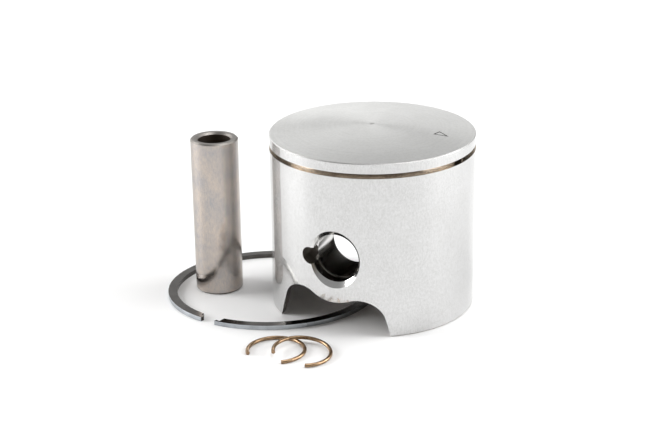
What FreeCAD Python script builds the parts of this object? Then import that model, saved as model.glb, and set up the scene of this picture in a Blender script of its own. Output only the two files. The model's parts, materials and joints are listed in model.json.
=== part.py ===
"""Two-stroke motorcycle piston kit: piston, ring peg, compression ring, wrist pin and two circlips.

The kit is laid out on a flat surface. The piston stands on its skirt, with the loose ring threaded
through its skirt cut-outs, the wrist pin stands on end and the second circlip leans on the first.
Millimetres and degrees. +Z is up, Y runs along the pin bore, and +X is the side that the crown's
arrow points to. The origin is the middle of the kit's footprint.
"""

import FreeCAD, Part
import math
import os
import Sketcher
from FreeCAD import Placement, Rotation, Vector

SIZES = {
    # Where the piston's axis stands on the surface
    "piston_x": 17.35,
    "piston_y": 13.16,
    # Piston, turned outside
    "skirt_radius": 33.97,
    "land_radius": 33.87,
    "crown_edge_height": 58.6,
    "crown_rise": 2.4,
    "edge_break": 0.3,
    "land_height": 3.3,
    "groove_width": 1.55,
    "groove_floor_radius": 30.5,
    # Piston, hollow inside
    "skirt_inner_radius": 31.0,
    "roof_height": 53.4,
    "roof_radius": 27.2,
    "taper_height": 34.0,
    "roof_fillet": 5.0,
    "foot_taper": 0.8,
    # Pin bosses and their bore
    "pin_height": 25.85,
    "boss_radius": 12.8,
    "boss_inner_end": 13.8,
    "boss_outer_end": 31.1,
    "boss_top": 53.6,
    "bore_radius": 8.01,
    "bore_mouth_start": 32.3,
    "bore_mouth_end": 35.0,
    "clip_groove_start": 27.5,
    "clip_groove_end": 28.8,
    "clip_groove_radius": 8.7,
    "bore_inner_chamfer": 0.6,
    # Circlip notch beside the bore
    "notch_radius": 2.85,
    "notch_offset": 8.7,
    "notch_drop": 0.1,
    # Skirt cut-outs, which are arches on either side of the boss
    "under_boss_radius": 14.6,
    "left_arch_x": 11.8,
    "left_arch_radius": 8.0,
    "left_foot_x": 22.35,
    "back_left_arch_x": 16.1,
    "back_left_foot_x": 29.9,
    "right_arch_x": 7.8,
    "right_arch_radius": 8.65,
    "right_foot_x": 17.65,
    # Arrow engraved on the crown, from the middle of its triangle's base
    "arrow_x": 21.7,
    "arrow_y": 1.3,
    "arrow_length": 4.7,
    "arrow_base": 3.9,
    "arrow_line": 0.4,
    "arrow_turn": -14.0,
    "arrow_floor": 59.2,
    # Ring peg
    "peg_radius": 0.7,
    "peg_inner_end": 27.0,
    "peg_outer_end": 32.0,
    "peg_angle": -5.0,
    # Compression ring, free and slightly oval, lying flat
    "ring_long_radius": 35.6,
    "ring_short_radius": 32.54,
    "ring_width": 3.0,
    "ring_thickness": 1.5,
    "ring_x": -33.59,
    "ring_y": -8.54,
    "ring_long_angle": 24.7,
    "gap_angle": -104.6,
    "gap_width": 5.4,
    "gap_step_width": 8.2,
    "gap_step_radius": 32.35,
    # Wrist pin, standing on end
    "wrist_pin_radius": 8.0,
    "wrist_pin_hole_radius": 5.5,
    "wrist_pin_length": 53.8,
    "wrist_pin_chamfer": 0.5,
    "wrist_pin_hole_chamfer": 0.7,
    "wrist_pin_x": -52.32,
    "wrist_pin_y": -11.48,
    # Circlips, of round wire
    "wire_radius": 0.6,
    "clip_radius": 9.05,
    "clip_sweep": 273.0,
    "lower_clip_x": -12.18,
    "lower_clip_y": -52.33,
    "lower_clip_turn": -55.5,
    "upper_clip_x": -3.52,
    "upper_clip_y": -51.75,
    "upper_clip_turn": -60.8,
    "upper_clip_tilt": 4.9,
    "upper_clip_tilt_angle": 72.3,
}

ORIGIN_POINT = (-1, 1)
HORIZONTAL_AXIS = -1
VERTICAL_AXIS = -2
START = 1
END = 2
CENTRE = 3

doc = FreeCAD.newDocument("PistonKit")


def fill_sheet():
    """Write every driving size into the spreadsheet, one alias a row."""
    sheet = doc.addObject("Spreadsheet::Sheet", "Sizes")
    for row, (alias, size) in enumerate(SIZES.items(), start=1):
        sheet.set(f"A{row}", alias)
        sheet.set(f"B{row}", str(size))
        sheet.setAlias(f"B{row}", alias)
    doc.recompute()
    return sheet


sheet = fill_sheet()


def measure(formula):
    """Return the value of a formula in the sheet's aliases."""
    return float(sheet.evalExpression(formula))


def bind(thing, **formulas):
    """Bind properties of an object to formulas in the sheet's aliases."""
    for name, formula in formulas.items():
        thing.setExpression(name, formula)


def place(thing, x, y, z="0", angle="0"):
    """Bind an object's place, and its turn about the vertical, to formulas in the sheet's aliases."""
    thing.setExpression("Placement.Base.x", x)
    thing.setExpression("Placement.Base.y", y)
    thing.setExpression("Placement.Base.z", z)
    thing.setExpression("Placement.Rotation.Angle", angle)


def new_body(label):
    """Start a body with its own label."""
    body = doc.addObject("PartDesign::Body", label)
    body.Label = label
    return body


def origin_item(body, role):
    """Find one of the body's own origin planes or axes by its role."""
    return next(item for item in body.Origin.OriginFeatures if item.Role == role)


def new_sketch(body, name, role, offset="0"):
    """Add a sketch on one of the body's origin planes, moved along the plane's normal."""
    sketch = body.newObject("Sketcher::SketchObject", name)
    sketch.AttachmentSupport = [(origin_item(body, role), "")]
    sketch.MapMode = "FlatFace"
    sketch.setExpression("AttachmentOffset.Base.z", offset)
    doc.recompute()
    return sketch


def constrain(sketch, kind, *references, formula=None):
    """Add a constraint, with its value bound to a formula if it has one."""
    if formula is None:
        sketch.addConstraint(Sketcher.Constraint(kind, *references))
        return
    index = sketch.addConstraint(Sketcher.Constraint(kind, *references, measure(formula)))
    sketch.setExpression(f"Constraints[{index}]", formula)


def hold(sketch, geometry, end, x, y):
    """Hold one end of a curve, or its centre, at formulas for its sketch coordinates."""
    for kind, formula, axis in (("DistanceX", x, VERTICAL_AXIS), ("DistanceY", y, HORIZONTAL_AXIS)):
        if formula == "0":
            constrain(sketch, "PointOnObject", geometry, end, axis)
        elif formula:
            constrain(sketch, kind, *ORIGIN_POINT, geometry, end, formula=formula)


def add_outline(sketch, corners, dome_after=None):
    """Draw a closed outline with its corners at formulas, counter-clockwise.

    The side after corner number dome_after, if given, is an arc centred on the vertical axis.
    """
    points = [Vector(measure(x), measure(y), 0) for x, y in corners]
    for number, start in enumerate(points):
        end = points[(number + 1) % len(points)]
        if number == dome_after:
            rise = end.y - start.y
            dome_radius = (start.x**2 + rise**2) / (2 * rise)
            centre = Vector(0, end.y - dome_radius, 0)
            dome = Part.Circle(centre, Vector(0, 0, 1), dome_radius)
            start_angle = math.atan2(start.y - centre.y, start.x)
            sketch.addGeometry(Part.ArcOfCircle(dome, start_angle, math.pi / 2))
            constrain(sketch, "PointOnObject", number, CENTRE, VERTICAL_AXIS)
        else:
            sketch.addGeometry(Part.LineSegment(start, end))
    for number, (x, y) in enumerate(corners):
        previous = (number - 1) % len(corners)
        constrain(sketch, "Coincident", previous, END, number, START)
        hold(sketch, number, START, x, y)


def revolve(body, kind, name, sketch, axis):
    """Turn a sketch all the way round one of its axes, adding or cutting."""
    turned = body.newObject(kind, name)
    turned.Profile = sketch
    turned.ReferenceAxis = (sketch, [axis])
    turned.Angle = 360.0
    doc.recompute()
    return turned


def mirror_across_bore(body, name, feature):
    """Repeat a feature on the other side of the plane through the piston's axis and the arrow."""
    mirrored = body.newObject("PartDesign::Mirrored", name)
    mirrored.Originals = [feature]
    mirrored.MirrorPlane = (origin_item(body, "XZ_Plane"), [""])
    body.Tip = mirrored
    doc.recompute()
    return mirrored


def cut(feature, before):
    """Check that a cutting feature really removed something."""
    if feature.Shape.Volume >= before - 0.01:
        raise RuntimeError(f"{feature.Label} removes nothing")
    return feature.Shape.Volume


def add_piston_casting(body):
    """Turned outside with the ring groove and domed crown, and the hollow inside."""
    edge = "Sizes.crown_edge_height"
    groove_top = f"{edge} - Sizes.land_height"
    groove_bottom = f"{groove_top} - Sizes.groove_width"
    corners = [
        ("Sizes.skirt_inner_radius + Sizes.foot_taper", "0"),
        ("Sizes.skirt_radius - Sizes.edge_break", "0"),
        ("Sizes.skirt_radius", "Sizes.edge_break"),
        ("Sizes.skirt_radius", groove_bottom),
        ("Sizes.groove_floor_radius", groove_bottom),
        ("Sizes.groove_floor_radius", groove_top),
        ("Sizes.land_radius", groove_top),
        ("Sizes.land_radius", f"{edge} - Sizes.edge_break"),
        ("Sizes.land_radius - Sizes.edge_break", edge),
        ("0", f"{edge} + Sizes.crown_rise"),
        ("0", "Sizes.roof_height"),
        ("Sizes.roof_radius", "Sizes.roof_height"),
        ("Sizes.skirt_inner_radius", "Sizes.taper_height"),
        ("Sizes.skirt_inner_radius", "4 * Sizes.foot_taper"),
    ]
    crown_edge_corner = 8
    sketch = new_sketch(body, "PistonSection", "XZ_Plane")
    add_outline(sketch, corners, dome_after=crown_edge_corner)
    turned = revolve(body, "PartDesign::Revolution", "PistonTurning", sketch, "V_Axis")
    roof_radius = measure("Sizes.roof_radius")
    roof_height = measure("Sizes.roof_height")
    corner_edges = [
        f"Edge{number}"
        for number, edge in enumerate(turned.Shape.Edges, start=1)
        if abs(edge.BoundBox.XMax - roof_radius) < 0.01
        and abs(edge.BoundBox.ZMin - roof_height) < 0.01
        and edge.BoundBox.ZLength < 0.01
    ]
    fillet = body.newObject("PartDesign::Fillet", "RoofFillet")
    fillet.Base = (turned, corner_edges)
    bind(fillet, Radius="Sizes.roof_fillet")
    doc.recompute()


def add_bosses(body):
    """Pin bosses, each joined up to the roof, on both sides of the connecting rod's space."""
    sketch = new_sketch(body, "BossSection", "XZ_Plane", "Sizes.boss_inner_end")
    radius, height = measure("Sizes.boss_radius"), measure("Sizes.pin_height")
    roof = measure("Sizes.boss_top")
    under = Part.Circle(Vector(0, height, 0), Vector(0, 0, 1), radius)
    sketch.addGeometry(Part.ArcOfCircle(under, math.pi, 2 * math.pi))
    sketch.addGeometry(Part.LineSegment(Vector(radius, height, 0), Vector(radius, roof, 0)))
    sketch.addGeometry(Part.LineSegment(Vector(radius, roof, 0), Vector(-radius, roof, 0)))
    sketch.addGeometry(Part.LineSegment(Vector(-radius, roof, 0), Vector(-radius, height, 0)))
    arc, right, top, left = range(4)
    constrain(sketch, "Tangent", arc, END, right, START)
    constrain(sketch, "Coincident", right, END, top, START)
    constrain(sketch, "Coincident", top, END, left, START)
    constrain(sketch, "Tangent", left, END, arc, START)
    constrain(sketch, "Vertical", right)
    constrain(sketch, "Horizontal", top)
    constrain(sketch, "Radius", arc, formula="Sizes.boss_radius")
    hold(sketch, arc, CENTRE, "0", "Sizes.pin_height")
    hold(sketch, right, END, None, "Sizes.boss_top")
    boss = body.newObject("PartDesign::Pad", "FrontBoss")
    boss.Profile = sketch
    bind(boss, Length="Sizes.boss_outer_end - Sizes.boss_inner_end")
    doc.recompute()
    mirror_across_bore(body, "BackBoss", boss)


def bore_step_corners():
    """Half of the bore's section, from the mouth to the rod's space: distance from the middle, radius."""
    mouth_depth = "(Sizes.bore_mouth_end - Sizes.bore_mouth_start)"
    return [
        ("Sizes.bore_mouth_end", f"(Sizes.bore_radius + {mouth_depth})"),
        ("Sizes.bore_mouth_start", "Sizes.bore_radius"),
        ("Sizes.clip_groove_end", "Sizes.bore_radius"),
        ("Sizes.clip_groove_end", "Sizes.clip_groove_radius"),
        ("Sizes.clip_groove_start", "Sizes.clip_groove_radius"),
        ("Sizes.clip_groove_start", "Sizes.bore_radius"),
        ("(Sizes.boss_inner_end + Sizes.bore_inner_chamfer)", "Sizes.bore_radius"),
        ("Sizes.boss_inner_end", "(Sizes.bore_radius + Sizes.bore_inner_chamfer)"),
    ]


def cut_pin_bore(body):
    """Bore through both bosses, with a flared mouth, a circlip groove and an inner chamfer each side."""
    sketch = new_sketch(body, "BoreSection", "YZ_Plane")
    steps = bore_step_corners()
    right = [(along, f"Sizes.pin_height + {radius}") for along, radius in steps]
    left = [(f"-{along}", f"Sizes.pin_height + {radius}") for along, radius in reversed(steps)]
    axis_ends = [("-Sizes.bore_mouth_end", "Sizes.pin_height"), ("Sizes.bore_mouth_end", "Sizes.pin_height")]
    add_outline(sketch, axis_ends + right + left)
    axis = sketch.addGeometry(Part.LineSegment(Vector(-1, 0, 0), Vector(1, 0, 0)), True)
    hold(sketch, axis, START, "-Sizes.bore_mouth_end", "Sizes.pin_height")
    hold(sketch, axis, END, "Sizes.bore_mouth_end", "Sizes.pin_height")
    before = body.Shape.Volume
    bore = revolve(body, "PartDesign::Groove", "PinBore", sketch, "Axis0")
    cut(bore, before)


def cut_clip_notches(body):
    """A round notch beside each end of the bore, down to the circlip groove, to pick the clip out."""
    sketch = new_sketch(body, "NotchSection", "XZ_Plane", "Sizes.clip_groove_start")
    middle = Vector(-measure("Sizes.notch_offset"), measure("Sizes.pin_height - Sizes.notch_drop"), 0)
    sketch.addGeometry(Part.Circle(middle, Vector(0, 0, 1), measure("Sizes.notch_radius")))
    constrain(sketch, "Radius", 0, formula="Sizes.notch_radius")
    hold(sketch, 0, CENTRE, "-Sizes.notch_offset", "Sizes.pin_height - Sizes.notch_drop")
    before = body.Shape.Volume
    notch = body.newObject("PartDesign::Pocket", "FrontNotch")
    notch.Profile = sketch
    notch.Reversed = True
    bind(notch, Length="Sizes.skirt_radius")
    doc.recompute()
    before = cut(notch, before)
    cut(mirror_across_bore(body, "BackNotch", notch), before)


def draw_arches(sketch, arch_x, foot_x):
    """Draw a cut-out: two arches that run smoothly into an arc about the bore, with straight legs."""
    pin = Vector(0, measure("Sizes.pin_height"), 0)
    around = measure("Sizes.under_boss_radius")
    arches = []
    for side, x, foot, radius in (
        (-1, arch_x, foot_x, "Sizes.left_arch_radius"),
        (1, "Sizes.right_arch_x", "Sizes.right_foot_x", "Sizes.right_arch_radius"),
    ):
        reach = measure(radius)
        centre = Vector(side * measure(x), 0, 0)
        centre.y = pin.y - math.sqrt((around + reach) ** 2 - centre.x**2)
        start = Vector(side * measure(foot), 0, 0)
        lean = math.asin(reach / (centre - start).Length)
        leg_angle = math.atan2(centre.y - start.y, centre.x - start.x) - side * lean
        meeting = centre + Vector(math.sin(leg_angle), -math.cos(leg_angle), 0) * side * reach
        arches.append((side, centre, start, meeting, reach))
    left, right = arches
    neck = [(pin - arch[1]).normalize() for arch in arches]
    joins = [arch[1] + direction * arch[4] for arch, direction in zip(arches, neck)]
    up = Vector(0, 0, 1)

    def angle(point, centre):
        return math.atan2(point.y - centre.y, point.x - centre.x)

    sketch.addGeometry(Part.LineSegment(left[2], right[2]))
    sketch.addGeometry(Part.LineSegment(right[2], right[3]))
    sketch.addGeometry(
        Part.ArcOfCircle(
            Part.Circle(right[1], up, right[4]), angle(right[3], right[1]), angle(joins[1], right[1])
        )
    )
    sketch.addGeometry(
        Part.ArcOfCircle(Part.Circle(pin, up, around), angle(joins[0], pin), angle(joins[1], pin))
    )
    sketch.addGeometry(
        Part.ArcOfCircle(
            Part.Circle(left[1], up, left[4]), angle(joins[0], left[1]), angle(left[3], left[1])
        )
    )
    sketch.addGeometry(Part.LineSegment(left[3], left[2]))
    base, right_leg, right_arch, middle, left_arch, left_leg = range(6)
    constrain(sketch, "Coincident", base, END, right_leg, START)
    constrain(sketch, "Tangent", right_leg, END, right_arch, START)
    constrain(sketch, "Tangent", right_arch, END, middle, END)
    constrain(sketch, "Tangent", middle, START, left_arch, START)
    constrain(sketch, "Tangent", left_arch, END, left_leg, START)
    constrain(sketch, "Coincident", left_leg, END, base, START)
    constrain(sketch, "Radius", right_arch, formula="Sizes.right_arch_radius")
    constrain(sketch, "Radius", middle, formula="Sizes.under_boss_radius")
    constrain(sketch, "Radius", left_arch, formula="Sizes.left_arch_radius")
    hold(sketch, base, START, f"-{foot_x}", "0")
    hold(sketch, base, END, "Sizes.right_foot_x", "0")
    hold(sketch, middle, CENTRE, "0", "Sizes.pin_height")
    hold(sketch, left_arch, CENTRE, f"-{arch_x}", None)
    hold(sketch, right_arch, CENTRE, "Sizes.right_arch_x", None)


def cut_skirt(body, name, arch_x, foot_x, to_back):
    """Cut one of the arched openings out of the foot of the skirt, front or back."""
    sketch = new_sketch(body, f"{name}Section", "XZ_Plane")
    draw_arches(sketch, arch_x, foot_x)
    before = body.Shape.Volume
    opening = body.newObject("PartDesign::Pocket", name)
    opening.Profile = sketch
    opening.Reversed = not to_back
    bind(opening, Length="Sizes.skirt_radius + 1")
    doc.recompute()
    cut(opening, before)


def cut_arrow(body):
    """Engrave the outline of a triangle that points to the exhaust side of the engine."""
    sketch = new_sketch(body, "ArrowSection", "XY_Plane", "Sizes.arrow_floor")
    base_middle = Vector(measure("Sizes.arrow_x"), measure("Sizes.arrow_y"), 0)
    length = measure("Sizes.arrow_length")
    half_base = measure("Sizes.arrow_base") / 2
    inner_radius = half_base * length / (half_base + math.hypot(half_base, length))
    incentre = Vector(inner_radius, 0, 0)
    turn = Rotation(Vector(0, 0, 1), measure("Sizes.arrow_turn"))
    for scale in (1, 1 - measure("Sizes.arrow_line") / inner_radius):
        corners = []
        for corner in (Vector(length, 0, 0), Vector(0, half_base, 0), Vector(0, -half_base, 0)):
            corners.append(base_middle + turn.multVec(incentre + (corner - incentre) * scale))
        first = sketch.GeometryCount
        for side in range(3):
            sketch.addGeometry(Part.LineSegment(corners[side], corners[(side + 1) % 3]))
        for side in range(3):
            constrain(sketch, "Coincident", first + side, END, first + (side + 1) % 3, START)
        for side in range(3):
            constrain(sketch, "Block", first + side)
    before = body.Shape.Volume
    arrow = body.newObject("PartDesign::Pocket", "Arrow")
    arrow.Profile = sketch
    arrow.Reversed = True
    bind(arrow, Length="Sizes.crown_rise")
    doc.recompute()
    cut(arrow, before)


def cut_peg_hole(body):
    """Blind radial hole in the floor of the ring groove."""
    before = body.Shape.Volume
    hole = body.newObject("PartDesign::SubtractiveCylinder", "PegHole")
    hole.AttachmentSupport = [(origin_item(body, "XY_Plane"), "")]
    hole.MapMode = "FlatFace"
    bind(hole, Radius="Sizes.peg_radius", Height="Sizes.peg_outer_end - Sizes.peg_inner_end")
    reach, height, turn = peg_place()
    hole.AttachmentOffset = Placement(
        Vector(reach * math.cos(turn), reach * math.sin(turn), height), peg_rotation(turn)
    )
    doc.recompute()
    cut(hole, before)


def peg_place():
    """Distance of the peg's inner end from the piston's axis, its height, and its direction."""
    middle = "Sizes.crown_edge_height - Sizes.land_height - Sizes.groove_width / 2"
    return measure("Sizes.peg_inner_end"), measure(middle), math.radians(measure("Sizes.peg_angle"))


def peg_rotation(turn):
    """Turn a cylinder's axis from +Z to the radial direction of the peg."""
    return Rotation(Vector(0, 0, 1), math.degrees(turn)) * Rotation(Vector(0, 1, 0), 90)


def make_piston():
    """The piston: one aluminium casting."""
    body = new_body("piston")
    add_piston_casting(body)
    add_bosses(body)
    cut_pin_bore(body)
    cut_clip_notches(body)
    cut_skirt(body, "FrontCutout", "Sizes.left_arch_x", "Sizes.left_foot_x", False)
    cut_skirt(body, "BackCutout", "Sizes.back_left_arch_x", "Sizes.back_left_foot_x", True)
    cut_peg_hole(body)
    cut_arrow(body)
    place(body, "Sizes.piston_x", "Sizes.piston_y")
    return body


def make_ring_peg():
    """The steel peg in the ring groove, which keeps the ring's gap in its place."""
    peg = doc.addObject("Part::Cylinder", "ring_peg")
    peg.Label = "ring_peg"
    bind(peg, Radius="Sizes.peg_radius", Height="Sizes.peg_outer_end - Sizes.peg_inner_end")
    reach, height, turn = peg_place()
    axis = Vector(measure("Sizes.piston_x"), measure("Sizes.piston_y"), height)
    base = axis + Vector(reach * math.cos(turn), reach * math.sin(turn), 0)
    peg.Placement = Placement(base, peg_rotation(turn))
    return peg


def add_oval(name, inset):
    """An upright oval slug, as thick as the ring, with its edge moved in by the inset."""
    oval = doc.addObject("Part::Ellipse", f"{name}Edge")
    bind(
        oval,
        MajorRadius=f"Sizes.ring_long_radius - {inset}",
        MinorRadius=f"Sizes.ring_short_radius - {inset}",
    )
    place(oval, "0", "0", angle="Sizes.ring_long_angle")
    slug = doc.addObject("Part::Extrusion", name)
    slug.Base = oval
    slug.Dir = Vector(0, 0, 1)
    slug.Solid = True
    bind(slug, LengthFwd="Sizes.ring_thickness")
    return slug


def add_gap_block(name, width, inner, outer):
    """A block across the ring's gap, from one distance from the ring's centre to another."""
    block = doc.addObject("Part::Box", name)
    bind(block, Length=f"{outer} - {inner}", Width=width, Height="2 * Sizes.ring_thickness")
    angle = "Sizes.gap_angle"
    along = f"({inner})"
    across = f"({width}) / 2"
    place(
        block,
        f"{along} * cos({angle}) + {across} * sin({angle})",
        f"{along} * sin({angle}) - {across} * cos({angle})",
        "-Sizes.ring_thickness / 2",
        angle,
    )
    return block


def cut_from(base, tool, name):
    """Cut one object out of another."""
    result = doc.addObject("Part::Cut", name)
    result.Base = base
    result.Tool = tool
    return result


def make_compression_ring():
    """The split ring: square in section, with an inner step on each side of the gap for the peg."""
    hoop = cut_from(add_oval("RingOutside", "0"), add_oval("RingInside", "Sizes.ring_width"), "RingHoop")
    beyond = "(Sizes.ring_long_radius + 1)"
    within = "(Sizes.ring_short_radius - 2 * Sizes.ring_width)"
    split = cut_from(hoop, add_gap_block("GapSplit", "Sizes.gap_width", within, beyond), "SplitHoop")
    step = add_gap_block("GapStep", "Sizes.gap_step_width", within, "Sizes.gap_step_radius")
    ring = cut_from(split, step, "compression_ring")
    ring.Label = "compression_ring"
    place(ring, "Sizes.piston_x + Sizes.ring_x", "Sizes.piston_y + Sizes.ring_y")
    return ring


def make_wrist_pin():
    """The hollow wrist pin, with chamfered ends."""
    body = new_body("wrist_pin")
    sketch = new_sketch(body, "WristPinSection", "XZ_Plane")
    outer, hole = "Sizes.wrist_pin_radius", "Sizes.wrist_pin_hole_radius"
    outer_break, hole_break = "Sizes.wrist_pin_chamfer", "Sizes.wrist_pin_hole_chamfer"
    top = "Sizes.wrist_pin_length"
    corners = [
        (f"{hole} + {hole_break}", "0"),
        (f"{outer} - {outer_break}", "0"),
        (outer, outer_break),
        (outer, f"{top} - {outer_break}"),
        (f"{outer} - {outer_break}", top),
        (f"{hole} + {hole_break}", top),
        (hole, f"{top} - {hole_break}"),
        (hole, hole_break),
    ]
    add_outline(sketch, corners)
    revolve(body, "PartDesign::Revolution", "WristPinTurning", sketch, "V_Axis")
    place(body, "Sizes.piston_x + Sizes.wrist_pin_x", "Sizes.piston_y + Sizes.wrist_pin_y")
    return body


def make_circlip(label, x, y, turn, tilt=0.0, tilt_angle=0.0):
    """A circlip of round wire that rests on the surface, turned and then tilted about a level line."""
    clip = doc.addObject("Part::Torus", label)
    clip.Label = label
    bind(clip, Radius1="Sizes.clip_radius", Radius2="Sizes.wire_radius", Angle3="Sizes.clip_sweep")
    tilt_line = Vector(math.cos(math.radians(tilt_angle)), math.sin(math.radians(tilt_angle)), 0)
    rise = measure("Sizes.clip_radius") * math.sin(math.radians(tilt))
    centre = Vector(
        measure("Sizes.piston_x") + x, measure("Sizes.piston_y") + y, measure("Sizes.wire_radius") + rise
    )
    clip.Placement = Placement(centre, Rotation(tilt_line, tilt) * Rotation(Vector(0, 0, 1), turn))
    return clip


def make_circlips():
    """Two equal circlips, the upper one leaning on the lower."""
    lower = make_circlip(
        "circlip_lower",
        measure("Sizes.lower_clip_x"),
        measure("Sizes.lower_clip_y"),
        measure("Sizes.lower_clip_turn"),
    )
    upper = make_circlip(
        "circlip_upper",
        measure("Sizes.upper_clip_x"),
        measure("Sizes.upper_clip_y"),
        measure("Sizes.upper_clip_turn"),
        measure("Sizes.upper_clip_tilt"),
        measure("Sizes.upper_clip_tilt_angle"),
    )
    return [lower, upper]


def check_and_write(parts):
    """Stop on any failed object or bad shape, then write each part to its own file."""
    doc.recompute()
    for item in doc.Objects:
        if {"Invalid", "Error"} & set(item.State):
            raise RuntimeError(f"{item.Label} failed: {item.State}")
    for part in parts:
        if part.Shape.isNull() or not part.Shape.isValid() or len(part.Shape.Solids) != 1:
            raise RuntimeError(f"{part.Label} has no valid single solid")
    os.makedirs("parts", exist_ok=True)
    for part in parts:
        part.Shape.exportStep(f"parts/{part.Label}.step")
        box = part.Shape.BoundBox
        print(f"{part.Label}: {part.Shape.Volume:.1f} mm3, {box}")


check_and_write([make_piston(), make_ring_peg(), make_compression_ring(), make_wrist_pin(), *make_circlips()])
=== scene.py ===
"""Looks of a two-stroke motorcycle piston kit, laid out on a white floor.

Each sub-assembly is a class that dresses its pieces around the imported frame, and each finish is a
small frozen dataclass that builds one procedural material. Effects that more than one finish uses
are shader node groups, built once.
"""

import json
import logging
import math
from collections.abc import Callable
from dataclasses import dataclass, field
from enum import Enum

import bpy
from mathutils import Matrix, Vector


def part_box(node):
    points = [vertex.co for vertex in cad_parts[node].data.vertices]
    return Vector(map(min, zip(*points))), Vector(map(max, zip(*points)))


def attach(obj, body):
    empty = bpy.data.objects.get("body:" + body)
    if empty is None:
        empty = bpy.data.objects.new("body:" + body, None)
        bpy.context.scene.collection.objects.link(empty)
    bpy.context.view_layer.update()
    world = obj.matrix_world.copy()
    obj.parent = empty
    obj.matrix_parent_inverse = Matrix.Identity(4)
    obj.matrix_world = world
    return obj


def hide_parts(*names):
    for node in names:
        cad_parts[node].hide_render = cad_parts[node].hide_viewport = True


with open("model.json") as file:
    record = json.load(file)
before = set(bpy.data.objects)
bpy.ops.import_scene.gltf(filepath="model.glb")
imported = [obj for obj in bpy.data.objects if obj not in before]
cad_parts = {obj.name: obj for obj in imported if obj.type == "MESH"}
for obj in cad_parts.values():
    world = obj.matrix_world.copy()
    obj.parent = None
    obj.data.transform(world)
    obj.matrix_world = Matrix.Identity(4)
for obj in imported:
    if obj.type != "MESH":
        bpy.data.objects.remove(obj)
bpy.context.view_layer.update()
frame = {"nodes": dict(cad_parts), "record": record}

MM = 0.001
UP = Vector((0.0, 0.0, 1.0))
log = logging.getLogger("piston_kit")

Colour = tuple[float, float, float]
Point = tuple[float, float, float]
Socket = bpy.types.NodeSocket
Value = Socket | tuple[float, ...] | float


def mount(name: str) -> dict:
    """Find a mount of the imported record.

    Args:
        name: The mount's name.

    Returns:
        The mount's entry in the record.
    """
    return next(entry for entry in frame["record"]["mounts"] if entry["name"] == name)


class Axis(Enum):
    """Axis that a surface was turned about, as the rotation that lays it along Z."""

    Y = (math.pi / 2, 0.0, 0.0)
    Z = (0.0, 0.0, 0.0)


class Marks(Enum):
    """Which way a tool's marks follow one another on a surface."""

    ALONG_AXIS = "along the axis, as on a turned side"
    BY_RADIUS = "outwards from the axis, as on a faced end"


class Surface(Enum):
    """Kinds of face, each with a finish of its own."""

    SKIRT = "the piston's turned side"
    CROWN = "the piston's faced top"
    RIM = "the broken edge of the crown"
    ENGRAVED = "the arrow cut into the crown"
    GROOVE = "the ring groove"
    BORE = "the honed pin bore"
    NOTCH = "the notch beside the pin bore"
    CASTING = "the piston's inside, as cast"
    EDGE = "the skirt's foot and the milled edges of its cut-outs"
    RUNNING = "the ring's ground outside"
    SIDES = "the rest of the ring"
    BODY = "the wrist pin's polished side"
    ENDS = "the wrist pin's ends"
    HOLE = "the hole through the wrist pin"


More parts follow.
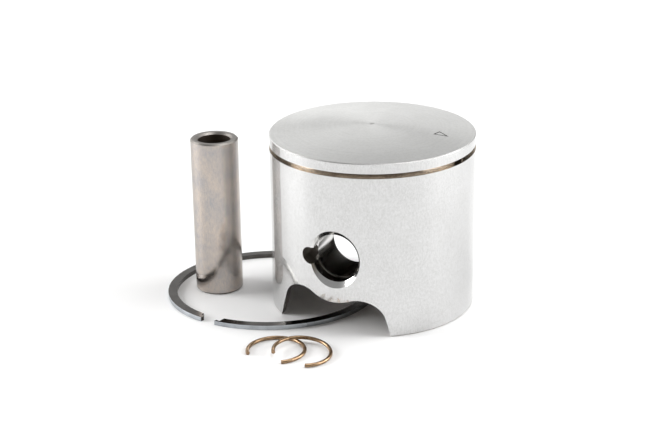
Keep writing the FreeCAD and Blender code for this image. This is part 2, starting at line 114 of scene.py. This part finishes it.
class Graph:
    """Short calls for building one node tree."""

    def __init__(self, tree: bpy.types.NodeTree) -> None:
        """Take the tree to build in.

        Args:
            tree: A material's, world's or group's node tree.
        """
        self.tree = tree

    def node(
        self, kind: str, inputs: dict[str | int, Value] | None = None, **settings: object
    ) -> bpy.types.Node:
        """Add a node.

        Args:
            kind: Blender's name of the node type.
            inputs: Socket name or number to a value, or to an output socket to link from.
            **settings: Properties of the node itself.

        Returns:
            The new node.
        """
        made = self.tree.nodes.new(kind)
        for name, value in settings.items():
            setattr(made, name, value)
        for name, value in (inputs or {}).items():
            self.feed(made.inputs[name], value)
        return made

    def feed(self, socket: Socket, value: Value) -> None:
        """Link an output socket to an input, or set the input's value.

        Args:
            socket: The input.
            value: The output to link from, or the value to set.
        """
        if isinstance(value, Socket):
            self.tree.links.new(value, socket)
        else:
            socket.default_value = value

    def math(self, operation: str, *values: Value) -> Socket:
        """Add a math node.

        Args:
            operation: Blender's name of the operation.
            *values: Its inputs in order.

        Returns:
            The result's socket.
        """
        inputs = dict(enumerate(values))
        return self.node("ShaderNodeMath", inputs, operation=operation).outputs[0]

    def vector(self, operation: str, *values: Value, output: str = "Vector") -> Socket:
        """Add a vector math node.

        Args:
            operation: Blender's name of the operation.
            *values: Its inputs in order.
            output: The name of the wanted output, Vector or Value.

        Returns:
            The result's socket.
        """
        inputs = dict(enumerate(values))
        return self.node("ShaderNodeVectorMath", inputs, operation=operation).outputs[output]

    def total(self, *products: tuple[Value, Value]) -> Socket:
        """Add up products.

        Args:
            *products: The two factors of each product.

        Returns:
            The sum's socket.
        """
        first, *others = products
        result = self.math("MULTIPLY", *first)
        for factors in others:
            result = self.math("ADD", result, self.math("MULTIPLY", *factors))
        return result

    def remap(
        self, value: Value, low: float, high: float, to_low: float = 0.0, to_high: float = 1.0
    ) -> Socket:
        """Map a value smoothly from one range to another, clamped at both ends.

        Args:
            value: The value.
            low: The start of its range.
            high: The end of its range.
            to_low: What the start becomes.
            to_high: What the end becomes.

        Returns:
            The mapped value's socket.
        """
        inputs = {"Value": value, "From Min": low, "From Max": high, "To Min": to_low, "To Max": to_high}
        made = self.node("ShaderNodeMapRange", inputs, interpolation_type="SMOOTHSTEP")
        return made.outputs["Result"]

    def mix(self, factor: Value, first: Value, second: Value) -> Socket:
        """Mix two colours.

        Args:
            factor: How much of the second colour.
            first: The first colour, with its alpha.
            second: The second colour, with its alpha.

        Returns:
            The mixed colour's socket.
        """
        factor_in, first_in, second_in, colour_out = 0, 6, 7, 2
        inputs = {factor_in: factor, first_in: first, second_in: second}
        made = self.node("ShaderNodeMix", inputs, data_type="RGBA", clamp_factor=True)
        return made.outputs[colour_out]

    def noise(self, **inputs: Value) -> Socket:
        """Add a fractal noise.

        Args:
            **inputs: The noise's inputs by name. With W it runs along a line, or else through space.

        Returns:
            The noise's socket.
        """
        dimensions = "1D" if "W" in inputs else "3D"
        return self.node("ShaderNodeTexNoise", inputs, noise_dimensions=dimensions).outputs["Fac"]


def rgba(colour: Colour) -> tuple[float, float, float, float]:
    """Give a colour a full alpha."""
    return (*colour, 1.0)


class Effects:
    """Shader node groups that the finishes share."""

    def __init__(self) -> None:
        """Build every group once."""
        self.turning = self._turning()
        self.handling = self._handling()
        self.grain = self._grain()

    @staticmethod
    def _group(
        name: str, inputs: dict[str, float | None], outputs: tuple[str, ...]
    ) -> tuple[Graph, bpy.types.bpy_prop_collection, bpy.types.bpy_prop_collection]:
        """Start a node group.

        Args:
            name: The group's name.
            inputs: Input name to a number's default value, or to None for a vector.
            outputs: The names of its outputs, which are numbers.

        Returns:
            The graph, the group's inputs to link from and its outputs to link to, by name.
        """
        tree = bpy.data.node_groups.new(name, "ShaderNodeTree")
        for label, default in inputs.items():
            kind = "NodeSocketVector" if default is None else "NodeSocketFloat"
            socket = tree.interface.new_socket(label, in_out="INPUT", socket_type=kind)
            if default is not None:
                socket.default_value = default
        for label in outputs:
            tree.interface.new_socket(label, in_out="OUTPUT", socket_type="NodeSocketFloat")
        graph = Graph(tree)
        source = graph.node("NodeGroupInput")
        sink = graph.node("NodeGroupOutput")
        return graph, source.outputs, sink.inputs

    def _turning(self) -> bpy.types.NodeTree:
        """Build fine lathe marks, which change along one distance and waver a little with the place.

        Returns:
            The group, which gives the marks' Height and the wider bands' Streak.
        """
        drift_scale, drift_reach = 45.0, 3.0
        bands_per_turn = 0.3
        streak_range = (0.3, 0.7)
        graph, given, wanted = self._group(
            "turning_marks", {"Position": None, "Distance": 0.0, "Pitch": 0.4 * MM}, ("Height", "Streak")
        )
        turns = graph.math("DIVIDE", given["Distance"], given["Pitch"])
        drift = graph.noise(Vector=given["Position"], Scale=drift_scale, Detail=2.0, Roughness=0.55)
        wavering = graph.total((turns, bands_per_turn), (drift, drift_reach))
        bands = graph.noise(W=wavering, Scale=1.0, Detail=3.0)
        graph.feed(wanted["Height"], graph.noise(W=turns, Scale=1.0, Detail=2.0))
        graph.feed(wanted["Streak"], graph.remap(bands, *streak_range))
        return graph.tree

    def _handling(self) -> bpy.types.NodeTree:
        """Build the faint blotches and specks that handling and oil leave.

        Returns:
            The group, which gives the Blotch and Speck masks.
        """
        specks_per_blotch = 9.0
        blotch_range = (0.32, 0.7)
        speck_range = (0.62, 0.78)
        graph, given, wanted = self._group(
            "handling_blotches", {"Position": None, "Size": 10 * MM}, ("Blotch", "Speck")
        )
        place = given["Position"]
        scale = graph.math("DIVIDE", 1.0, given["Size"])
        speck_scale = graph.math("MULTIPLY", scale, specks_per_blotch)
        blotches = graph.noise(Vector=place, Scale=scale, Detail=5.0, Roughness=0.62, Distortion=0.4)
        specks = graph.noise(Vector=place, Scale=speck_scale, Detail=3.0, Roughness=0.6)
        graph.feed(wanted["Blotch"], graph.remap(blotches, *blotch_range))
        graph.feed(wanted["Speck"], graph.remap(specks, *speck_range))
        return graph.tree

    def _grain(self) -> bpy.types.NodeTree:
        """Build the rough grain of a cast or fine-turned surface.

        Returns:
            The group, which gives the grain's Height and Tone.
        """
        pits_per_grain, pit_floor = 1.7, 0.5
        tone_range = (0.33, 0.67)
        graph, given, wanted = self._group(
            "surface_grain", {"Position": None, "Size": 1 * MM}, ("Height", "Tone")
        )
        place = given["Position"]
        scale = graph.math("DIVIDE", 1.0, given["Size"])
        pit_scale = graph.math("MULTIPLY", scale, pits_per_grain)
        grains = graph.noise(Vector=place, Scale=scale, Detail=4.0, Roughness=0.65)
        pits = graph.node("ShaderNodeTexVoronoi", {"Vector": place, "Scale": pit_scale}, feature="SMOOTH_F1")
        raised = graph.math("ADD", pits.outputs["Distance"], pit_floor)
        graph.feed(wanted["Height"], graph.math("MULTIPLY", grains, raised))
        graph.feed(wanted["Tone"], graph.remap(grains, *tone_range))
        return graph.tree


@dataclass(frozen=True)
class Finish:
    """A metal finish: one Principled material whose colour, roughness and normal vary over it.

    Sizes and depths are in metres. Each tone is how far its effect moves the colour to the shade.
    """

    name: str
    colour: Colour
    shade: Colour
    roughness: float
    roughness_spread: float = 0.08
    centre: Point = (0.0, 0.0, 0.0)
    axis: Axis = Axis.Z
    marks: Marks = Marks.ALONG_AXIS
    mark_pitch: float = 0.35 * MM
    mark_depth: float = 0.0
    mark_tone: float = 0.0
    blotch_size: float = 12 * MM
    blotch_tone: float = 0.3
    speck_tone: float = 0.0
    grain_size: float = 0.6 * MM
    grain_depth: float = 0.0
    grain_tone: float = 0.0
    grain_stretch: float = 1.0
    anisotropy: float = 0.0
    coat: float = 0.0
    coat_roughness: float = 0.05
    coat_index: float = 1.5
    pit_at: Point | None = None
    pit_radius: float = 0.45 * MM
    pit_depth: float = 0.2 * MM

    def position(self, graph: Graph) -> Socket:
        """Give the place on the piece, from the finish's centre and with its axis along Z.

        Args:
            graph: The material's graph.

        Returns:
            The place's socket.
        """
        source = graph.node("ShaderNodeTexCoord").outputs["Object"]
        shifted = graph.vector("SUBTRACT", source, self.centre)
        if self.axis is Axis.Z:
            return shifted
        return graph.node("ShaderNodeMapping", {"Vector": shifted, "Rotation": self.axis.value}).outputs[0]

    def distance(self, graph: Graph, place: Socket) -> Socket:
        """Give the distance that the tool's marks follow one another along.

        Args:
            graph: The material's graph.
            place: The place on the piece.

        Returns:
            The distance's socket.
        """
        if self.marks is Marks.BY_RADIUS:
            across = graph.vector("MULTIPLY", place, (1.0, 1.0, 0.0))
            return graph.vector("LENGTH", across, output="Value")
        return graph.node("ShaderNodeSeparateXYZ", {0: place}).outputs["Z"]

    def material(self, effects: Effects) -> bpy.types.Material:
        """Build the finish's material.

        Args:
            effects: The shared node groups.

        Returns:
            The material.
        """
        made = bpy.data.materials.new(self.name)
        made.use_nodes = True
        graph = Graph(made.node_tree)
        shader = made.node_tree.nodes["Principled BSDF"]
        place = self.position(graph)
        marks = graph.node(
            "ShaderNodeGroup",
            {"Position": place, "Distance": self.distance(graph, place), "Pitch": self.mark_pitch},
            node_tree=effects.turning,
        ).outputs
        handling = graph.node(
            "ShaderNodeGroup", {"Position": place, "Size": self.blotch_size}, node_tree=effects.handling
        ).outputs
        stretched = graph.vector("MULTIPLY", place, (1.0, 1.0, 1.0 / self.grain_stretch))
        grain = graph.node(
            "ShaderNodeGroup", {"Position": stretched, "Size": self.grain_size}, node_tree=effects.grain
        ).outputs

        tones = [
            (handling["Blotch"], self.blotch_tone),
            (marks["Streak"], self.mark_tone),
            (grain["Tone"], self.grain_tone),
            (handling["Speck"], self.speck_tone),
        ]
        heights = [(marks["Height"], self.mark_depth), (grain["Height"], self.grain_depth)]
        if self.pit_at is not None:
            away = graph.vector("DISTANCE", place, self.pit_at, output="Value")
            pit = graph.remap(away, 0.0, self.pit_radius, 1.0, 0.0)
            tones.append((pit, 1.0))
            heights.append((pit, -self.pit_depth))

        base = graph.mix(graph.total(*tones), rgba(self.colour), rgba(self.shade))
        spread = graph.math("MULTIPLY", handling["Blotch"], self.roughness_spread)
        height = graph.total(*heights)
        bump = graph.node("ShaderNodeBump", {"Height": height, "Strength": 1.0, "Distance": 1.0})
        graph.feed(shader.inputs["Base Color"], base)
        graph.feed(shader.inputs["Roughness"], graph.math("ADD", spread, self.roughness))
        graph.feed(shader.inputs["Normal"], bump.outputs[0])
        shader.inputs["Metallic"].default_value = 1.0
        shader.inputs["Anisotropic"].default_value = self.anisotropy
        shader.inputs["Coat Weight"].default_value = self.coat
        shader.inputs["Coat Roughness"].default_value = self.coat_roughness
        shader.inputs["Coat IOR"].default_value = self.coat_index
        if self.anisotropy:
            tangent = graph.node("ShaderNodeTangent", direction_type="RADIAL", axis=self.axis.name)
            graph.feed(shader.inputs["Tangent"], tangent.outputs[0])
        return made


def wear(thing: bpy.types.Object, finish: Finish, effects: Effects) -> None:
    """Put a finish on all of a piece's material slots.

    Args:
        thing: The piece.
        finish: Its finish.
        effects: The shared node groups.
    """
    made = finish.material(effects)
    if not thing.material_slots:
        thing.data.materials.append(made)
    for slot in thing.material_slots:
        slot.material = made
    log.info("%s: %s", thing.name, finish.name)


@dataclass(frozen=True)
class Place:
    """Where a shown piece belongs: the body it rides on and the record's material slot."""

    body: str
    slot: str


def faced_copy(
    node: str,
    name: str,
    place: Place,
    materials: dict[Surface, bpy.types.Material],
    choose: Callable[[Vector, Vector], Surface],
) -> None:
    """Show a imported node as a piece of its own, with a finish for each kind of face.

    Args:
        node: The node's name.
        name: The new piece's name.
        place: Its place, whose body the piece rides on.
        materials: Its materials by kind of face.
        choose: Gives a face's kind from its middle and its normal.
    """
    mesh = frame["nodes"][node].data.copy()
    piece = bpy.data.objects.new(name, mesh)
    bpy.context.scene.collection.objects.link(piece)
    mesh.materials.clear()
    for material in materials.values():
        mesh.materials.append(material)
    kinds = list(materials)
    for face in mesh.polygons:
        face.material_index = kinds.index(choose(face.center, face.normal))
    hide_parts(node)
    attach(piece, place.body)
    log.info("%s: %d faces, %d finishes", name, len(mesh.polygons), len(kinds))


@dataclass
class Piston:
    """The piston: a turned aluminium casting with its finishes laid on face by face.

    The sizes tell its faces apart by where they lie. The facings tell them apart by how directly
    they look up, along the bore or away from an axis: 1 is directly, and -1 is the opposite way.
    """

    effects: Effects
    casting_radius: float = 30.9 * MM
    groove_floor: float = 30.5 * MM
    bore_reach: float = 8.75 * MM
    notch_reach: float = 11.8 * MM
    boss_end: float = 13.25 * MM
    groove_width: float = 1.55 * MM
    edge_break: float = 0.3 * MM
    arrow_floor: float = 59.2 * MM
    slack: float = 0.05 * MM
    level_facing: float = 0.999
    end_facing: float = 0.95
    crown_facing: float = 0.9
    skirt_facing: float = 0.9
    rim_facing: float = 0.2
    arrow_wall_facing: float = 0.5
    notch_facing: float = -0.6
    notch_wall_facing: float = -0.2
    bore_centre: Vector = field(init=False)
    foot_centre: Vector = field(init=False)
    top: float = field(init=False)
    skirt_radius: float = field(init=False)
    edge_height: float = field(init=False)
    groove_top: float = field(init=False)

    def __post_init__(self) -> None:
        """Read the piston's place from its mounts."""
        self.bore_centre = Vector(mount("pin_bore")["pos_m"])
        self.foot_centre = Vector((self.bore_centre.x, self.bore_centre.y, 0.0))
        self.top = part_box("piston")[1][2]
        self.skirt_radius = mount("skirt")["dims"]["r_mm"] * MM
        land = mount("top_land")
        half_land = land["dims"]["length_mm"] * MM / 2
        self.edge_height = land["pos_m"][2] + half_land
        self.groove_top = land["pos_m"][2] - half_land

    def _outside_finishes(self) -> dict[Surface, Finish]:
        """Set up the finishes of the crown, the skirt and the groove.

        Returns:
            The finishes by kind of face.
        """
        centre = tuple(self.foot_centre)
        return {
            Surface.SKIRT: Finish(
                "skirt_fine_turned_aluminium",
                (0.6, 0.6, 0.6),
                (0.37, 0.37, 0.36),
                roughness=0.25,
                roughness_spread=0.02,
                centre=centre,
                mark_pitch=0.25 * MM,
                mark_tone=0.08,
                blotch_size=7 * MM,
                blotch_tone=0.1,
                speck_tone=0.2,
                grain_size=0.5 * MM,
                grain_stretch=1.8,
                grain_depth=0.004 * MM,
                grain_tone=0.55,
                anisotropy=1.0,
                coat=1.0,
                coat_roughness=0.02,
                coat_index=2.7,
            ),
            Surface.CROWN: Finish(
                "crown_faced_aluminium",
                (0.84, 0.84, 0.83),
                (0.56, 0.56, 0.54),
                roughness=0.3,
                roughness_spread=0.04,
                centre=centre,
                marks=Marks.BY_RADIUS,
                mark_pitch=0.3 * MM,
                mark_depth=0.002 * MM,
                mark_tone=0.1,
                blotch_size=9 * MM,
                blotch_tone=0.12,
                grain_size=0.8 * MM,
                grain_tone=0.2,
                anisotropy=0.6,
                pit_at=(0.0, 0.0, self.top - self.foot_centre.z),
                pit_radius=1.3 * MM,
            ),
            Surface.RIM: Finish(
                "crown_edge_break",
                (0.6, 0.6, 0.59),
                (0.38, 0.38, 0.37),
                roughness=0.38,
                centre=centre,
                grain_tone=0.4,
            ),
            # Painted shade: the arrow's cut faces are dark to stand in for the shade inside its narrow
            # groove.
            Surface.ENGRAVED: Finish(
                "crown_arrow_painted_shade",
                (0.3, 0.29, 0.28),
                (0.16, 0.155, 0.15),
                roughness=0.4,
                centre=centre,
                grain_tone=0.4,
            ),
            Surface.GROOVE: Finish(
                "groove_cut_aluminium",
                (0.62, 0.57, 0.51),
                (0.3, 0.26, 0.22),
                roughness=0.16,
                centre=centre,
                mark_tone=0.3,
                blotch_size=5 * MM,
            ),
        }

    def _inside_finishes(self) -> dict[Surface, Finish]:
        """Set up the finishes of the bore, the inside and the lower edge.

        Returns:
            The finishes by kind of face.
        """
        return {
            Surface.BORE: Finish(
                "bore_honed_aluminium",
                (0.78, 0.78, 0.77),
                (0.55, 0.52, 0.49),
                roughness=0.1,
                roughness_spread=0.05,
                centre=tuple(self.bore_centre),
                axis=Axis.Y,
                mark_pitch=0.2 * MM,
                mark_depth=0.001 * MM,
            ),
            # Painted shade: the notch's faces are near-black to stand in for the shade deep inside the
            # notch.
            Surface.NOTCH: Finish(
                "notch_painted_shade_aluminium",
                (0.1, 0.09, 0.08),
                (0.04, 0.035, 0.03),
                roughness=0.35,
                centre=tuple(self.bore_centre),
                axis=Axis.Y,
                grain_tone=0.5,
            ),
            Surface.CASTING: Finish(
                "inside_as_cast_aluminium",
                (0.36, 0.315, 0.28),
                (0.2, 0.17, 0.15),
                roughness=0.45,
                centre=tuple(self.foot_centre),
                grain_size=0.9 * MM,
                grain_depth=0.12 * MM,
                grain_tone=0.5,
            ),
            Surface.EDGE: Finish(
                "edge_milled_aluminium",
                (0.6, 0.58, 0.56),
                (0.3, 0.27, 0.25),
                roughness=0.25,
                centre=tuple(self.foot_centre),
                grain_tone=0.4,
            ),
        }

    def _surface_of(self, middle: Vector, normal: Vector) -> Surface:
        """Tell what kind of face one face is.

        Args:
            middle: The face's middle.
            normal: The face's normal.

        Returns:
            Its kind.
        """
        out = Vector((middle.x - self.foot_centre.x, middle.y - self.foot_centre.y, 0.0))
        outwards = out.normalized().dot(normal)
        on_arrow_floor = abs(middle.z - self.arrow_floor) < self.slack and normal.z > self.level_facing
        engraving = on_arrow_floor or abs(normal.z) < self.arrow_wall_facing
        if middle.z > self.arrow_floor - self.slack and engraving and out.length < self.casting_radius:
            return Surface.ENGRAVED
        if middle.z > self.edge_height - self.slack and normal.z > self.rim_facing:
            return Surface.CROWN if normal.z > self.crown_facing else Surface.RIM

        low, high = self.groove_top - self.groove_width - self.slack, self.groove_top + self.slack
        if low < middle.z < high and out.length > self.groove_floor - self.slack:
            return Surface.GROOVE
        if out.length > self.skirt_radius - 2 * self.edge_break and outwards > self.skirt_facing:
            return Surface.SKIRT

        across = Vector((middle.x - self.bore_centre.x, 0.0, middle.z - self.bore_centre.z))
        from_bore = across.normalized().dot(normal)
        endwise = abs(normal.y)
        if abs(middle.y - self.bore_centre.y) > self.boss_end and across.length < self.notch_reach:
            if across.length > self.bore_reach and from_bore > self.notch_facing:
                in_notch = endwise > self.end_facing or from_bore > self.notch_wall_facing
                return Surface.NOTCH if in_notch else Surface.BORE
            if across.length < self.bore_reach + self.slack or endwise < self.end_facing:
                return Surface.BORE
        if out.length > self.casting_radius and middle.z < self.bore_centre.z:
            return Surface.EDGE
        return Surface.CASTING

    def dress(self) -> None:
        """Make the piston's shown piece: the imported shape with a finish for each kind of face."""
        finishes = {**self._outside_finishes(), **self._inside_finishes()}
        materials = {kind: finish.material(self.effects) for kind, finish in finishes.items()}
        faced_copy("piston", "piston_casting", Place("piston", "piston_alloy"), materials, self._surface_of)

    def dress_peg(self) -> None:
        """Give the ring peg a plain steel finish."""
        finish = Finish(
            "peg_steel_pin",
            (0.3, 0.27, 0.24),
            (0.18, 0.16, 0.14),
            roughness=0.3,
            centre=tuple(self.foot_centre),
            grain_tone=0.3,
        )
        wear(frame["nodes"]["ring_peg"], finish, self.effects)


@dataclass
class LoosePieces:
    """The ring, the wrist pin and the circlips.

    The facings say how directly a face looks outwards or endwise, from 0 for not at all to 1.
    """

    effects: Effects
    running_facing: float = 0.5
    end_facing: float = 0.3
    hole_reach: float = 0.8 * MM

    def dress_ring(self) -> None:
        """Give the ring dark phosphated sides and a bright ground running face."""
        low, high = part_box("compression_ring")
        centre = (Vector(low) + Vector(high)) / 2
        sides = Finish(
            "ring_phosphated_sides",
            (0.1, 0.094, 0.088),
            (0.035, 0.031, 0.028),
            roughness=0.14,
            centre=tuple(centre),
            blotch_size=5 * MM,
            blotch_tone=0.5,
            grain_size=0.3 * MM,
            grain_tone=0.3,
        )
        running = Finish(
            "ring_ground_running_face",
            (0.55, 0.58, 0.61),
            (0.26, 0.275, 0.295),
            roughness=0.2,
            centre=tuple(centre),
            mark_pitch=0.2 * MM,
            mark_tone=0.4,
            blotch_size=6 * MM,
            blotch_tone=0.4,
        )

        def choose(middle: Vector, normal: Vector) -> Surface:
            """Tell the running face from the sides.

            Args:
                middle: The face's middle.
                normal: The face's normal.

            Returns:
                Its kind.
            """
            out = middle - centre
            return Surface.RUNNING if normal.dot(out) > self.running_facing * out.length else Surface.SIDES

        materials = {
            Surface.RUNNING: running.material(self.effects),
            Surface.SIDES: sides.material(self.effects),
        }
        faced_copy("compression_ring", "ring_piece", Place("ring", "ring_iron"), materials, choose)

    def dress_pin(self) -> None:
        """Give the wrist pin warm polished steel, and duller ground ends and a drilled hole."""
        centre = Vector(mount("wrist_pin")["pos_m"])
        hole_radius = mount("pin_hole")["dims"]["r_mm"] * MM
        body = Finish(
            "wrist_pin_polished_steel",
            (0.54, 0.46, 0.395),
            (0.34, 0.34, 0.35),
            roughness=0.19,
            roughness_spread=0.03,
            anisotropy=1.0,
            centre=tuple(centre),
            blotch_size=7 * MM,
            blotch_tone=0.5,
            grain_size=0.5 * MM,
            grain_stretch=3.0,
            grain_tone=0.45,
        )
        ends = Finish(
            "wrist_pin_ground_ends",
            (0.34, 0.32, 0.3),
            (0.2, 0.185, 0.17),
            roughness=0.36,
            centre=tuple(centre),
            marks=Marks.BY_RADIUS,
            mark_pitch=0.3 * MM,
            mark_tone=0.4,
            grain_size=0.4 * MM,
            grain_tone=0.3,
        )
        hole = Finish(
            "wrist_pin_drilled_hole",
            (0.3, 0.25, 0.21),
            (0.12, 0.095, 0.075),
            roughness=0.32,
            centre=tuple(centre),
            mark_tone=0.4,
            blotch_tone=0.4,
        )

        def choose(middle: Vector, normal: Vector) -> Surface:
            """Tell the ends and the hole from the polished side.

            Args:
                middle: The face's middle.
                normal: The face's normal.

            Returns:
                Its kind.
            """
            if abs(normal.z) > self.end_facing:
                return Surface.ENDS
            radius = math.hypot(middle.x - centre.x, middle.y - centre.y)
            return Surface.HOLE if radius < hole_radius + self.hole_reach else Surface.BODY

        materials = {
            Surface.BODY: body.material(self.effects),
            Surface.ENDS: ends.material(self.effects),
            Surface.HOLE: hole.material(self.effects),
        }
        faced_copy("wrist_pin", "wrist_pin_piece", Place("wrist_pin", "pin_steel"), materials, choose)

    def dress_clips(self) -> None:
        """Give both circlips bronze-brown spring wire."""
        for node in ("circlip_lower", "circlip_upper"):
            low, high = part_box(node)
            finish = Finish(
                f"{node}_spring_wire",
                (0.44, 0.3, 0.18),
                (0.16, 0.1, 0.06),
                roughness=0.28,
                centre=tuple((Vector(low) + Vector(high)) / 2),
                blotch_size=2.5 * MM,
                blotch_tone=0.6,
                grain_size=0.25 * MM,
                grain_tone=0.3,
            )
            wear(frame["nodes"][node], finish, self.effects)


@dataclass(frozen=True)
class Softbox:
    """A soft area light: its place in the studio and its size in metres, and its power in watts."""

    name: str
    right: float
    away: float
    up: float
    width: float
    height: float
    power: float


@dataclass
class Studio:
    """The white floor, the soft light and the camera.

    Angles are in degrees. Right and away are as the camera looks, from the middle of the piston's
    foot. Each fade is the range of a direction's lean over which one side of the room turns into
    another.
    """

    azimuth: float = 22.95
    elevation: float = 20.97
    roll: float = -0.703
    focal_length: float = 85.38
    sensor_width: float = 36.0
    nearest_seen: float = 10 * MM
    stand: Point = (181.1 * MM, -460.76 * MM, 216.3 * MM)
    floor_size: float = 12.0
    floor_white: Colour = (0.86, 0.86, 0.86)
    floor_roughness: float = 0.55
    floor_specular: float = 0.3
    camera_side: Colour = (0.17, 0.15, 0.13)
    back_side: Colour = (1.25, 1.25, 1.24)
    right_side: Colour = (0.66, 0.66, 0.66)
    ceiling: Colour = (0.3, 0.3, 0.3)
    back_fade: tuple[float, float] = (-0.75, 0.25)
    right_fade: tuple[float, float] = (-0.5, 0.6)
    ceiling_fade: tuple[float, float] = (0.2, 0.8)
    aim_height: float = 20 * MM
    softboxes: tuple[Softbox, ...] = (
        Softbox("key", right=1.1, away=-0.05, up=0.5, width=1.0, height=0.7, power=15.0),
        Softbox("overhead", right=0.3, away=0.08, up=1.2, width=0.6, height=0.6, power=7.0),
        Softbox("left", right=-1.2, away=0.15, up=0.4, width=0.7, height=0.7, power=18.0),
    )
    centre: Vector = field(init=False)
    right: Vector = field(init=False)
    away: Vector = field(init=False)

    def __post_init__(self) -> None:
        """Take the studio's centre from the piston's foot."""
        bore = Vector(mount("pin_bore")["pos_m"])
        self.centre = Vector((bore.x, bore.y, 0.0))
        angle = math.radians(self.azimuth)
        self.right = Vector((math.cos(angle), math.sin(angle), 0.0))
        self.away = Vector((-math.sin(angle), math.cos(angle), 0.0))

    def add_camera(self) -> None:
        """Add the camera and make it the scene's."""
        tilt = math.radians(self.elevation)
        forward = self.away * math.cos(tilt) - UP * math.sin(tilt)
        level_up = self.right.cross(forward)
        turn = math.radians(self.roll)
        right = self.right * math.cos(turn) + level_up * math.sin(turn)
        up = level_up * math.cos(turn) - self.right * math.sin(turn)
        lens = bpy.data.cameras.new("camera")
        lens.sensor_width = self.sensor_width
        lens.lens = self.focal_length
        lens.clip_start = self.nearest_seen
        camera = bpy.data.objects.new("camera", lens)
        bpy.context.scene.collection.objects.link(camera)
        axes = Matrix((right, up, -forward)).transposed()
        at = self.centre + Vector(self.stand)
        camera.matrix_world = Matrix.Translation(at) @ axes.to_4x4()
        bpy.context.scene.camera = camera

    def add_floor(self) -> None:
        """Add the white floor."""
        half = self.floor_size / 2
        corners = [(-half, -half, 0.0), (half, -half, 0.0), (half, half, 0.0), (-half, half, 0.0)]
        mesh = bpy.data.meshes.new("floor")
        mesh.from_pydata(corners, [], [(0, 1, 2, 3)])
        floor = bpy.data.objects.new("floor", mesh)
        bpy.context.scene.collection.objects.link(floor)
        made = bpy.data.materials.new("floor_white")
        made.use_nodes = True
        shader = made.node_tree.nodes["Principled BSDF"]
        shader.inputs["Base Color"].default_value = rgba(self.floor_white)
        shader.inputs["Roughness"].default_value = self.floor_roughness
        shader.inputs["Specular IOR Level"].default_value = self.floor_specular
        mesh.materials.append(made)

    def add_softbox(self, softbox: Softbox) -> None:
        """Args:
            softbox: Its place, size and power.
        """
        light = bpy.data.lights.new(softbox.name, "AREA")
        light.shape = "RECTANGLE"
        light.size, light.size_y = softbox.width, softbox.height
        light.energy = softbox.power
        at = self.centre + self.right * softbox.right + self.away * softbox.away + UP * softbox.up
        aim = self.centre + UP * self.aim_height
        thing = bpy.data.objects.new(softbox.name, light)
        thing.location = at
        thing.rotation_euler = (aim - at).to_track_quat("-Z", "Y").to_euler()
        bpy.context.scene.collection.objects.link(thing)

    def add_world(self) -> None:
        world = bpy.data.worlds.new("room")
        world.use_nodes = True
        bpy.context.scene.world = world
        graph = Graph(world.node_tree)
        background = world.node_tree.nodes["Background"]
        direction = graph.node("ShaderNodeTexCoord").outputs["Generated"]
        to_back = graph.vector("DOT_PRODUCT", direction, tuple(self.away), output="Value")
        to_right = graph.vector("DOT_PRODUCT", direction, tuple(self.right), output="Value")
        height = graph.node("ShaderNodeSeparateXYZ", {0: direction}).outputs["Z"]
        sideways = graph.remap(to_right, *self.right_fade)
        backward = graph.remap(to_back, *self.back_fade)
        overhead = graph.remap(height, *self.ceiling_fade)
        behind = graph.mix(sideways, rgba(self.back_side), rgba(self.right_side))
        room = graph.mix(backward, rgba(self.camera_side), behind)
        graph.feed(background.inputs["Color"], graph.mix(overhead, room, rgba(self.ceiling)))
        background.inputs["Strength"].default_value = 1.0

    def build(self) -> None:
        """Build the whole studio."""
        self.add_camera()
        self.add_floor()
        self.add_world()
        for softbox in self.softboxes:
            self.add_softbox(softbox)
        settings = bpy.context.scene.view_settings
        settings.view_transform = "Standard"
        settings.look = "None"


def main() -> None:
    logging.basicConfig(level=logging.INFO, format="%(message)s")
    effects = Effects()
    piston = Piston(effects)
    piston.dress()
    piston.dress_peg()
    log.info("piston dressed")
    loose = LoosePieces(effects)
    loose.dress_ring()
    loose.dress_pin()
    loose.dress_clips()
    log.info("loose pieces dressed")
    Studio().build()


if __name__ == "__main__":
    main()
